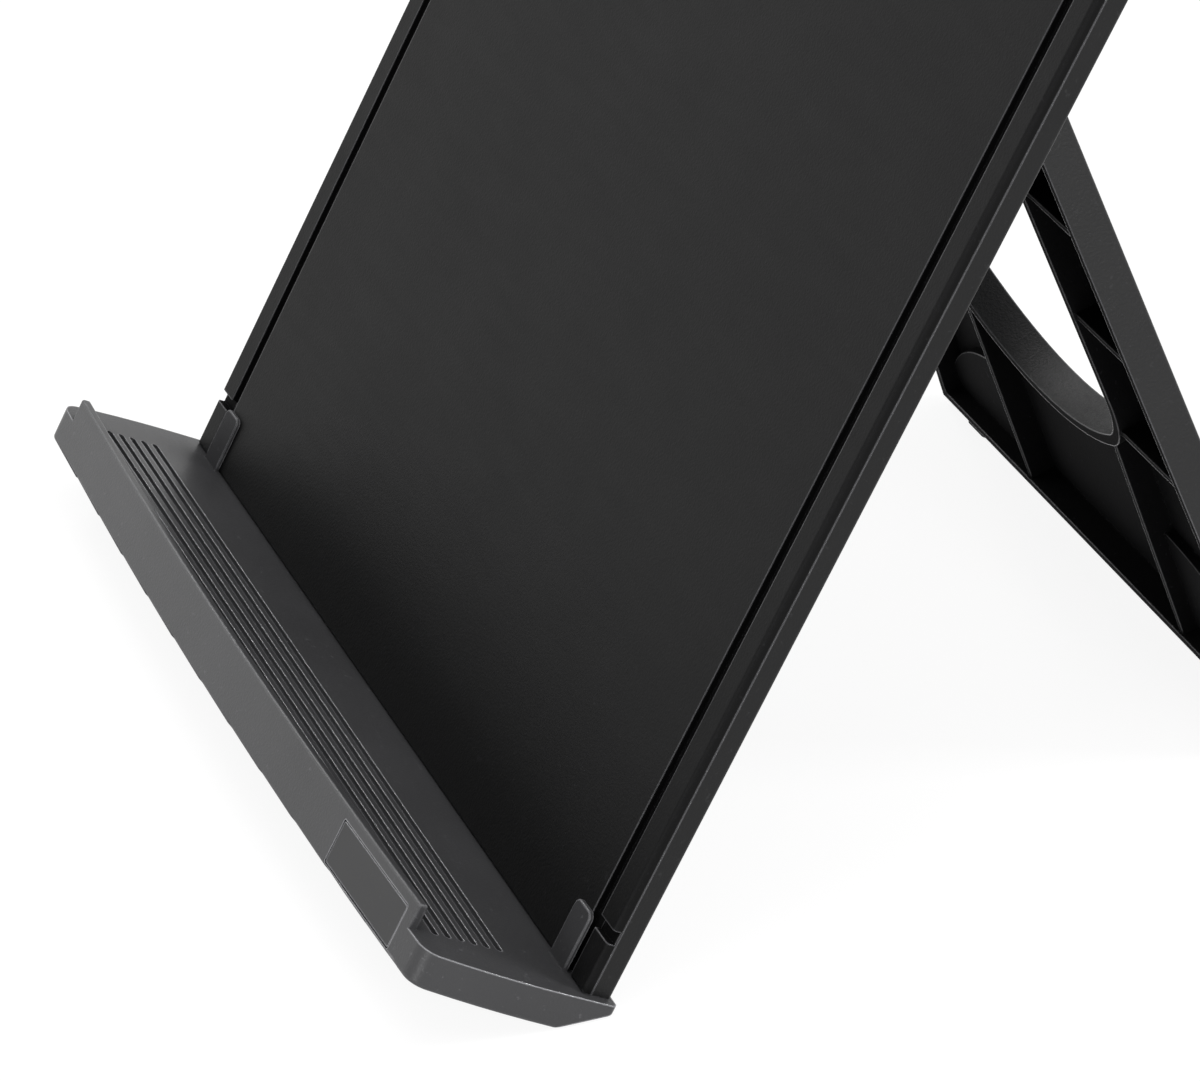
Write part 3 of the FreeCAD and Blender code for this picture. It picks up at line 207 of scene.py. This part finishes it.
# %% Bumps, directions and mixed shaders
def bumped(place, relief, height, normal, strength=1.0):
    """The normal with a relief on it that is `height` metres high where its mask is 1."""
    return place.add("Bump", None, {"Strength": strength, "Distance": height,
                                    "Height": relief, "Normal": normal})


def agreement(place, first, second):
    """1 where two directions are the same, 0 where they are square, and less beyond."""
    return place.add("VectorMath", {"operation": "DOT_PRODUCT"}, {0: first, 1: second},
                     output="Value")


def mix_over(factor, shader, other):
    """Lay another shader over a material's own one, as far as the factor says."""
    mixed = other.add("MixShader", None,
                      {0: factor, 1: Wire(other.tree, shader.outputs[0]), 2: other})
    connect(other.tree, mixed, other.tree.nodes["Material Output"].inputs["Surface"])


print("more helpers ready")

# %% [markdown]
# No moulded edge is sharp.  A Bevel node rounds the edges for the shader, and the angle
# between its normal and the true one marks them.  It marks hollow corners too, so the mask
# is multiplied by an ambient occlusion value, which is low in a corner and full on an edge.
# What is left is where hands and sheets polish a piece, and where a paler colour paints a
# highlight.  Both nodes shoot a few rays from every point.

# %% Edges
RAYS = 6
EDGE_ROUND = 0.00050
EDGE_STOPS = (0.80, 1.0), (0.95, 0.55), (0.996, 0.0)
CORNER_REACH = 0.0015
CORNER_STOPS = (0.70, 0.0), (0.92, 1.0)


def openness(place, reach, rays=RAYS):
    """1 where a surface is open, and less where it is shut in within the reach."""
    return place.add("AmbientOcclusion", {"samples": rays, "only_local": True},
                     {"Distance": reach}, output="AO")


def rounded_edges(place, radius=EDGE_ROUND):
    """The normal with its edges rounded, and a mask of the outward edges."""
    rounded = place.add("Bevel", {"samples": RAYS}, {"Radius": radius}, output="Normal")
    flat = place.add("NewGeometry", output="Normal")
    bent = ramp(agreement(place, rounded, flat), *EDGE_STOPS)
    return rounded, bent * ramp(openness(place, CORNER_REACH), *CORNER_STOPS)


print("edge radius:", EDGE_ROUND * 1000, "mm")

# %% [markdown]
# The holder is injection-moulded styrene plastic.  The mould is spark-eroded, which leaves a
# fine even pebble that breaks reflections up into a soft satin.  The colour is nearly black
# all over: what shows is the reflection, so the finish is made by gloss, grain and edges.
# Under the pebble lie wide faint clouds, where the melt flowed, and on it fine scuffs and a
# few specks of dust.  Clouds, scuffs and pebble make the roughness waver about one level,
# dust raises it, and the worn edges lower it.

# %% Skin of the plastic
CLOUD_SIZE = 0.03
CLOUD_CONTRAST = 0.3
PEBBLE_SIZE = 0.00055
PEBBLE_HEIGHT = 0.000045
SCUFF_SIZE = 0.004
SCUFF_STRETCH = (0.2, 1, 1)
DUST_SIZE = 0.0016
DUST_STOPS = (0.64, 0.0), (0.72, 1.0)
DUST_COVER = 0.5
DUST_TONE = 0.01
DUST_BRIGHTENING = 3
CLOUD_WAVER = 0.08
SCUFF_WAVER = 0.08
PEBBLE_WAVER = 0.06
DUST_DULLING = 0.10
EDGE_POLISH = 0.26


def skin(place, body, edge_wear_and_highlight, rough, pebble_height):
    """Colour, roughness and normal of the skin, with painted highlight on worn edges, and
    their mask.
    """
    rounded, outer_edges = rounded_edges(place)
    clouds = noise(place, CLOUD_SIZE, detail=3.0)
    pebble = noise(place, PEBBLE_SIZE, detail=1.5, roughness=0.6)
    dust = ramp(noise(place, DUST_SIZE, detail=3.0, roughness=0.7), *DUST_STOPS)
    scuffs = noise(place, SCUFF_SIZE, detail=4.0, roughness=0.65, stretch=SCUFF_STRETCH)
    base = tint(clouds, grey(body * (1 - CLOUD_CONTRAST)), grey(body * (1 + CLOUD_CONTRAST)))
    dusty = tint(dust * DUST_COVER, base, grey(body * DUST_BRIGHTENING + DUST_TONE))
    # The paler colour of the edges is a painted highlight laid over their real wear.
    colour = tint(outer_edges, dusty, grey(edge_wear_and_highlight))
    wavy = clouds * CLOUD_WAVER + scuffs * SCUFF_WAVER + pebble * PEBBLE_WAVER
    dulled = wavy + dust * DUST_DULLING
    level = rough - (CLOUD_WAVER + SCUFF_WAVER + PEBBLE_WAVER) / 2
    normal = bumped(place, pebble, pebble_height, rounded)
    return colour, dulled - outer_edges * EDGE_POLISH + level, normal, outer_edges


print("pebble:", PEBBLE_SIZE * 1000, "mm across")

# %% [markdown]
# Nobody polishes the inside of a mould's pockets and grooves, so where a piece is shut in, a
# second, dull shader takes over.  It reflects little, so it also paints shade into them.  Two
# openness masks find these places, one with a long reach for pockets and one with a short
# reach for grooves.  A wide and shallow inside is too open for them, so a piece can also name
# the direction in which its inside faces, and that side gets the same painted shade.

# %% Pockets and grooves
POCKET_REACH = 0.060
POCKET_STOPS = (0.72, 1.0), (0.97, 0.0)
GROOVE_REACH = 0.0012
GROOVE_STOPS = (0.45, 1.0), (0.80, 0.0)
INSIDE_STOPS = (0.90, 0.0), (0.97, 1.0)


def shut_in(place, outer_edges, reach=POCKET_REACH, stops=POCKET_STOPS, rays=RAYS, inside=None):
    """Painted shade: 1 in pockets, in grooves and on an inside face, but 0 on their polished
    edges.
    """
    pocket = ramp(openness(place, reach, rays), *stops)
    groove = ramp(openness(place, GROOVE_REACH), *GROOVE_STOPS)
    if inside:
        facing = agreement(place, place.add("TexCoord", output="Normal"), inside)
        pocket = place.maths("MAXIMUM", pocket, ramp(facing, *INSIDE_STOPS))
    return place.maths("MAXIMUM", pocket, groove) * (1 - outer_edges)


print("pockets within", POCKET_REACH * 1000, "mm")

# %% [markdown]
# The same plastic serves four finishes.  The board's face is the dullest, so that it gives no
# glare beside a sheet.  The shells have a deeper pebble.  The leg comes from a mould of its
# own, a little greyer and glossier, and its inside, which faces the board, gets painted
# shade.
# The tray, which hands rub, is the palest and has the brightest painted highlight on its
# edges.

# %% Moulded plastic
DULL_ROUGH = 0.8
DULL_SHINE = 0.03
SHELL_PEBBLE = 0.00007
LEG_LEAN = math.radians(20)
LEG_PAINTED_SHADE = {"reach": 0.120, "stops": ((0.86, 1.0), (0.985, 0.0)), "rays": 14,
               "inside": (0, -math.cos(LEG_LEAN), -math.sin(LEG_LEAN))}


def plastic(name, body, edge_wear_and_highlight, rough, shine, pebble_height=PEBBLE_HEIGHT, **pockets):
    """Satin moulded plastic: a body tone, an edge tone of wear and painted highlight,
    roughness and shine.
    """
    material, shader, place = blank(name, Specular_IOR_Level=shine)
    colour, uneven, normal, outer_edges = skin(place, body, edge_wear_and_highlight, rough, pebble_height)
    finish(shader, place, colour, uneven, normal)
    # Where a piece is shut in, a dull shader that reflects little paints shade.
    dull_painted_shade = shut_in(place, outer_edges, **pockets)
    dull_shade_shader = place.add("BsdfPrincipled", None, {"Base Color": colour, "Normal": normal,
                                              "Roughness": DULL_ROUGH,
                                              "Specular IOR Level": DULL_SHINE})
    mix_over(dull_painted_shade, shader, dull_shade_shader)
    return material


black_face = plastic("black_face_finish", body=0.003, edge_wear_and_highlight=0.12, rough=0.48, shine=0.09)
charcoal_shell = plastic("charcoal_shell_finish", body=0.006, edge_wear_and_highlight=0.13, rough=0.42,
                         shine=0.24, pebble_height=SHELL_PEBBLE)
charcoal_leg = plastic("charcoal_leg_finish", body=0.009, edge_wear_and_highlight=0.17, rough=0.42,
                       shine=0.32, pebble_height=SHELL_PEBBLE, **LEG_PAINTED_SHADE)
charcoal_tray = plastic("charcoal_tray_finish", body=0.042, edge_wear_and_highlight=0.40, rough=0.38,
                        shine=0.36)
print("plastics:", black_face.name, charcoal_shell.name, charcoal_leg.name,
      charcoal_tray.name)

# %% [markdown]
# The blank badge is a printed plate with a smoother and darker face than the tray that it is
# sunk in, so it shows as a quiet rectangle inside the lit edge of its recess.

# %% Badge
BADGE_PEBBLE = 0.000004

badge_black = plastic("badge_black_finish", body=0.018, edge_wear_and_highlight=0.40, rough=0.38, shine=0.36,
                      pebble_height=BADGE_PEBBLE)
print("badge:", badge_black.name)

# %% [markdown]
# Feet and pads are moulded rubber, much duller than the shells, with a dusty bloom that
# gathers in grey patches.

# %% Rubber
RUBBER_SHINE = 0.2
BLOOM_SIZE = 0.006
BLOOM_TONES = grey(0.004), grey(0.018)
BLOOM_ROUGH = 0.62, 0.82
RUBBER_EDGE = grey(0.035)
RUBBER_GRAIN = 0.0003
RUBBER_GRAIN_HEIGHT = 0.00002


def rubber(name):
    """Matt black rubber with patches of bloom."""
    material, shader, place = blank(name, Specular_IOR_Level=RUBBER_SHINE)
    rounded, outer_edges = rounded_edges(place)
    bloom = noise(place, BLOOM_SIZE, detail=4.0, roughness=0.65)
    grain = noise(place, RUBBER_GRAIN, detail=1.0)
    normal = bumped(place, grain, RUBBER_GRAIN_HEIGHT, rounded)
    colour = tint(outer_edges, tint(bloom, *BLOOM_TONES), RUBBER_EDGE)
    finish(shader, place, colour, between(bloom, *BLOOM_ROUGH), normal)
    return material


grip_rubber = rubber("grip_rubber_finish")
print("rubber:", grip_rubber.name)

# %% [markdown]
# The hinge rod, the clip's plate, pin and springs and the leaf springs of the sliders are
# steel with bright zinc plating.  Zinc is a bluish white metal with a faint spangle, and
# rolling leaves fine lines along the sheet.  The screws are the same steel with a black
# finish, worn bright on the edges.

# %% Plated steel
METAL_ROUND = 0.00015
SPANGLE_SIZE = 0.0025
SPANGLE_WAVER = 0.14
ROLLED_SIZE = 0.0004
ROLLED_WAVER = 0.08
ROLLED_HEIGHT = 0.000008
ROLLED_STRENGTH = 0.7
ALONG_THE_SHEET = (0.06, 1, 1)


def plated(name, dark, light, edge_wear_and_highlight, rough, lines=(1, 1, 1)):
    """Plated steel: spangled between two tones, with rolled lines and brighter edges."""
    material, shader, place = blank(name, Metallic=1.0)
    rounded, outer_edges = rounded_edges(place, METAL_ROUND)
    spangle = noise(place, SPANGLE_SIZE, detail=3.0, roughness=0.6)
    rolled = noise(place, ROLLED_SIZE, stretch=lines)
    normal = bumped(place, rolled, ROLLED_HEIGHT, rounded, ROLLED_STRENGTH)
    colour = tint(outer_edges, tint(spangle, dark, light), edge_wear_and_highlight)
    level = rough - (SPANGLE_WAVER + ROLLED_WAVER) / 2
    finish(shader, place, colour, spangle * SPANGLE_WAVER + rolled * ROLLED_WAVER + level,
           normal)
    return material


zinc = plated("bright_steel_finish", dark=(0.46, 0.48, 0.51, 1), light=(0.64, 0.66, 0.68, 1),
              edge_wear_and_highlight=(0.78, 0.79, 0.80, 1), rough=0.30, lines=ALONG_THE_SHEET)
screw_steel = plated("screw_steel_finish", dark=grey(0.025), light=grey(0.06),
                     edge_wear_and_highlight=grey(0.30), rough=0.36)
print("metals:", zinc.name, screw_steel.name)

# %% [markdown]
# The friction washers are natural nylon, a milky plastic that lets a little light in.

# %% Nylon
NYLON_MILK = 0.15
NYLON_TONES = (0.52, 0.50, 0.44, 1), (0.66, 0.64, 0.57, 1)
NYLON_EDGE = (0.74, 0.72, 0.66, 1)
NYLON_ROUGH = 0.40, 0.50
WASHER_ROUND = 0.0001
WASHER_CLOUDS = 0.002
NYLON_GRAIN = 0.0003
NYLON_GRAIN_HEIGHT = 0.00001
NYLON_GRAIN_STRENGTH = 0.5


def nylon(name):
    """Milky plastic with faint warm clouds."""
    material, shader, place = blank(name, Subsurface_Weight=NYLON_MILK)
    rounded, outer_edges = rounded_edges(place, WASHER_ROUND)
    clouds = noise(place, WASHER_CLOUDS)
    normal = bumped(place, noise(place, NYLON_GRAIN), NYLON_GRAIN_HEIGHT, rounded,
                    NYLON_GRAIN_STRENGTH)
    colour = tint(outer_edges, tint(clouds, *NYLON_TONES), NYLON_EDGE)
    finish(shader, place, colour, between(clouds, *NYLON_ROUGH), normal)
    return material


washer_plastic = nylon("washer_plastic_finish")
print("nylon:", washer_plastic.name)

# %% [markdown]
# The guide bar is clear acrylic.  Seen flat it nearly vanishes, and it is its polished edges
# and the scuffs of use that show it, so the roughness carries fine marks along the bar, in
# the direction in which it is wiped.

# %% Clear acrylic
ACRYLIC_IOR = 1.49
ACRYLIC_SHINE = 0.3
ACRYLIC_TONE = (0.93, 0.965, 0.96, 1)
ACRYLIC_EDGE = (0.80, 0.87, 0.86, 1)
ACRYLIC_ROUGH = 0.02, 0.08
BAR_ROUND = 0.0002
MARK_SIZE = 0.0016
MARK_STOPS = (0.55, 0.0), (0.72, 1.0)
MARK_HEIGHT = 0.000004
MARK_STRENGTH = 0.3
ALONG_THE_BAR = (0.12, 1, 1)


def acrylic(name):
    """Clear plastic with fine wiping marks along its length."""
    material, shader, place = blank(name, IOR=ACRYLIC_IOR, Transmission_Weight=1.0,
                                    Specular_IOR_Level=ACRYLIC_SHINE)
    rounded, outer_edges = rounded_edges(place, BAR_ROUND)
    marks = ramp(noise(place, MARK_SIZE, detail=5.0, roughness=0.7, stretch=ALONG_THE_BAR),
                 *MARK_STOPS)
    normal = bumped(place, marks, MARK_HEIGHT, rounded, MARK_STRENGTH)
    colour = tint(outer_edges, ACRYLIC_TONE, ACRYLIC_EDGE)
    finish(shader, place, colour, between(marks, *ACRYLIC_ROUGH), normal)
    return material


clear_plastic = acrylic("clear_plastic_finish")
print("clear:", clear_plastic.name)

# %% [markdown]
# Each solid piece keeps its shape and gets its finish.  The frame's record names a material
# slot for every piece, and this table says which finish goes into which slot.  The leg has
# the same slot as the shells but a finish of its own, so it has a row to itself.

# %% Dress the pieces
FINISHES = {
    "black_face": black_face,
    "charcoal_shell": charcoal_shell,
    "charcoal_tray": charcoal_tray,
    "badge_black": badge_black,
    "grip_rubber": grip_rubber,
    "bright_steel": zinc,
    "screw_steel": screw_steel,
    "washer_plastic": washer_plastic,
    "clear_plastic": clear_plastic,
}
OWN_FINISHES = {"easel_leg": charcoal_leg}

pieces = frame["record"]["subparts"]
for piece in pieces:
    for slot in nodes[piece["node"]].material_slots:
        slot.material = OWN_FINISHES.get(piece["node"], FINISHES[piece["material_slot"]])
print("dressed", len(pieces), "of", len(nodes), "nodes")

# %% [markdown]
# The two springs of the clip are wound from wire.  The solid model stands them in with
# rows of rings, so each gets a real helix here: a leg that lies against the clip's plate,
# close turns round the pin, and a short end that pushes the lever.  The path is a list of
# points in the board's own directions, which the frame's joints give.

# %% Path of a spring
TURN_RADIUS = 0.0023
TURN_PITCH = 0.00096
FULL_TURNS = 8
PART_TURN = 60
STEPS_PER_TURN = 36
FIRST_PLACE = 0.0120
FIRST_ANGLE = math.radians(19.2)
LAST_ANGLE = math.radians(FULL_TURNS * 360 + PART_TURN)
LEG_LENGTH = 0.0128
END_LENGTH = 0.0036

joints = {joint["name"]: joint for joint in frame["record"]["behaviour"]["joints"]}
pin_middle = Vector(joints["clip_hinge"]["pos_m"])
up = Vector(joints["guide_slide"]["axis"]).normalized()
inward = Vector((0, up.z, -up.y))


def on_coil(side, angle, beyond=0.0):
    """A point on the winding, or beyond it along its tangent there."""
    across = FIRST_PLACE + TURN_PITCH * (angle - FIRST_ANGLE) / math.tau
    back = TURN_RADIUS * math.cos(angle) - beyond * math.sin(angle)
    rise = TURN_RADIUS * math.sin(angle) + beyond * math.cos(angle)
    return pin_middle + Vector((side * across, 0, 0)) + inward * back + up * rise


def spring_path(side):
    """The points of one spring: its leg, its turns from the inside outwards, its end."""
    steps = FULL_TURNS * STEPS_PER_TURN
    path = [on_coil(side, FIRST_ANGLE, -LEG_LENGTH)]
    for step in range(steps + 1):
        path.append(on_coil(side, FIRST_ANGLE + (LAST_ANGLE - FIRST_ANGLE) * step / steps))
    path.append(on_coil(side, LAST_ANGLE, END_LENGTH))
    return path


print("turns:", round((LAST_ANGLE - FIRST_ANGLE) / math.tau, 2))

# %% [markdown]
# A curve with a round bevel makes wire out of the path, with caps to close its cut ends.  The
# springs ride on the board, whose pin carries them, and take the place of the rings.

# %% Clip springs
WIRE_RADIUS = 0.00046
WIRE_ROUNDNESS = 4


def wind_spring(name, side):
    """One spring of plated wire that rides on the board."""
    path = spring_path(side)
    curve = bpy.data.curves.new(name, "CURVE")
    curve.dimensions = "3D"
    curve.bevel_depth = WIRE_RADIUS
    curve.bevel_resolution = WIRE_ROUNDNESS
    curve.use_fill_caps = True
    line = curve.splines.new("POLY")
    line.points.add(len(path) - 1)
    for point, spot in zip(line.points, path):
        point.co = (*spot, 1)
    line.use_smooth = True
    spring = bpy.data.objects.new(name, curve)
    bpy.context.scene.collection.objects.link(spring)
    curve.materials.append(zinc)
    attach(spring, "board")
    return spring


springs = [wind_spring("wound_spring_left", -1), wind_spring("wound_spring_right", 1)]
for spring in springs:
    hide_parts("clip_springs")
print("springs:", ", ".join(spring.name for spring in springs))

# %% [markdown]
# The room is a pale sweep.  A camera, a gloss or a clear piece sees it almost white, through
# the Light Path node, while the light that falls on the object stays at a plain level.  Part
# of what is seen of the floor is still its own lit surface, so the object's shadow stays.
# Further out, beyond the lamps' reach, the glow takes over, and floor and world meet unseen.

# %% What sees the room, and the floor
FLOOR_HALF = 6.0
FLOOR_DROP = 0.0001
FLOOR_TONE = 0.8
FLOOR_ROUGH = 0.9
FLOOR_GLOW = 1.10
FLOOR_GLOW_SHARE = 0.82
FADE_START = 0.5
FADE_END = 1.6


def seen(wire):
    """1 for a ray from the camera, off a gloss or through a clear piece, and else 0."""
    rays = [wire.add("LightPath", output=kind)
            for kind in ("Is Camera Ray", "Is Glossy Ray", "Is Transmission Ray")]
    return wire.maths("MINIMUM", rays[0] + rays[1] + rays[2], 1.0)


floor_mesh = bpy.data.meshes.new("floor")
corners = [(x * FLOOR_HALF, y * FLOOR_HALF, -FLOOR_DROP)
           for x, y in ((-1, -1), (1, -1), (1, 1), (-1, 1))]
floor_mesh.from_pydata(corners, [], [(0, 1, 2, 3)])
floor = bpy.data.objects.new("floor", floor_mesh)
bpy.context.scene.collection.objects.link(floor)

paper, paper_shader, paper_place = blank("paper", Roughness=FLOOR_ROUGH,
                                         Base_Color=grey(FLOOR_TONE, cool=1))
glow = paper_place.add("Emission", None, {"Strength": FLOOR_GLOW})
distance = paper_place.add("VectorMath", {"operation": "LENGTH"}, {0: paper_place},
                           output="Value")
far = ramp(distance * (1 / FADE_END), (FADE_START / FADE_END, 0.0), (1.0, 1.0))
mix_over(seen(glow) * between(far, FLOOR_GLOW_SHARE, 1.0), paper_shader, glow)
floor_mesh.materials.append(paper)
print("floor side:", 2 * FLOOR_HALF, "m")

# %% [markdown]
# A wide soft box hangs above, another stands low to the left and in front, where the long
# lip of the tray mirrors part of it towards us, and one at the right lifts the tray's end
# and the side of the leg.  Black plastic is drawn by its edges, so three small boxes stand
# where a rounded edge mirrors them: one behind for the ends of the tray, one in front at the
# right for the rims of the board, and one high at the left for the top of the lip and the
# grooves.

# %% Lamps
AIM = Vector((0, 0, 0.1))
LAMPS = [  # name, place, width, height, power
    ("left_box", (-1.5, -1.05, 0.55), 1.3, 0.9, 2.5),
    ("top_box", (0.3, -0.2, 1.7), 1.3, 1.3, 11),
    ("right_box", (1.5, 0.1, 0.5), 0.6, 0.6, 7),
    ("back_box", (0.5, 1.4, 0.95), 0.4, 0.35, 12),
    ("right_strip", (0.75, -1.3, 0.35), 0.22, 0.35, 4.2),
    ("high_left_box", (-1.35, -0.05, 1.05), 0.35, 0.35, 5),
]


def soft_box(name, place, width, height, power):
    """A rectangular lamp that points at the middle of the holder."""
    data = bpy.data.lights.new(name, "AREA")
    data.shape = "RECTANGLE"
    data.size, data.size_y, data.energy = width, height, power
    lamp = bpy.data.objects.new(name, data)
    lamp.location = place
    lamp.rotation_euler = (AIM - Vector(place)).to_track_quat("-Z", "Y").to_euler()
    bpy.context.scene.collection.objects.link(lamp)


for lamp in LAMPS:
    soft_box(*lamp)
print("lamps:", len(LAMPS))

# %% [markdown]
# The world is an even white that is seen at full strength but lights the holder with less.
# The Standard view transform keeps white and black as they are reckoned.

# %% World
ROOM_LIGHT = 0.40

world = bpy.data.worlds.new("room")
bpy.context.scene.world = world
world.use_nodes = True
backdrop = world.node_tree.nodes["Background"]
backdrop.inputs["Color"].default_value = (1, 1, 1, 1)
room = between(seen(Wire(world.node_tree)), ROOM_LIGHT, 1.0)
connect(world.node_tree, room, backdrop.inputs["Strength"])
bpy.context.scene.view_settings.view_transform = "Standard"
print("room light:", ROOM_LIGHT)
